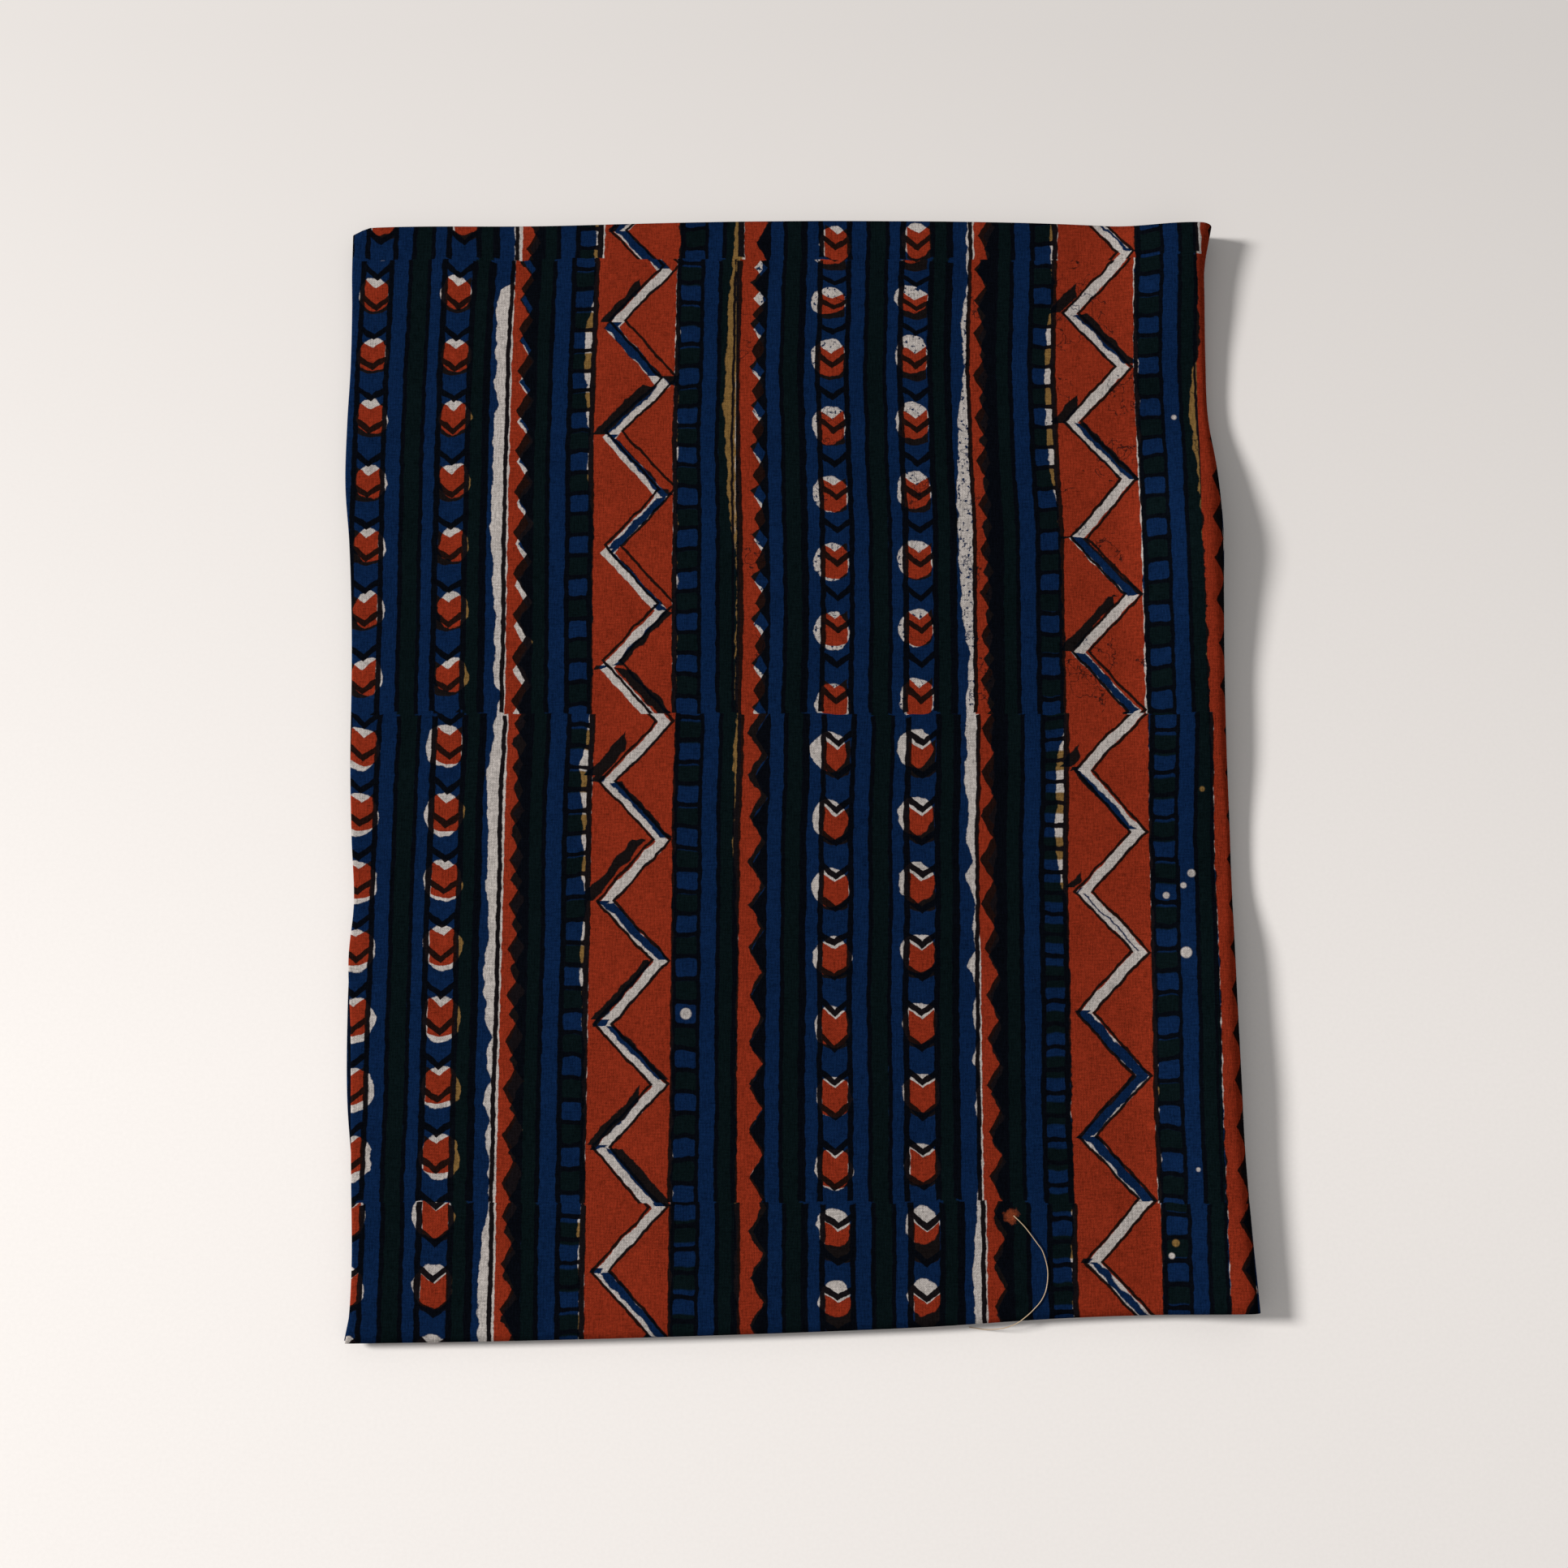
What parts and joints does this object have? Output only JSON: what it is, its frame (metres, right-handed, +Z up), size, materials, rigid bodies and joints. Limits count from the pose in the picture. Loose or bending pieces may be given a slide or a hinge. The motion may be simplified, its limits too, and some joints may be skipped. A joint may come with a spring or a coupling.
{
  "type": "folded block-printed cotton fabric",
  "caption": "Length of block-printed cotton cloth folded flat into a layered rectangle, with stripes, chevrons, ladders, saw-teeth and zigzag bands in indigo, red and black.",
  "frame": {"origin": "on the surface that the cloth rests on, under the middle of the folded cloth", "axes": "+X runs across the folds towards the raised fold, +Y runs along the folds and the stripes, +Z is up"},
  "size_m": [0.2836, 0.3565, 0.0134],
  "materials": {
    "printed_cotton": "matt plain-weave cotton, resist and mordant printed in indigo, dark green, madder red, black and undyed white",
    "loose_thread": "single pale gold yarn with a soft sheen"
  },
  "bodies": {
    "root": {"printed_cotton": "printed_cotton"}
  },
  "joints": []
}
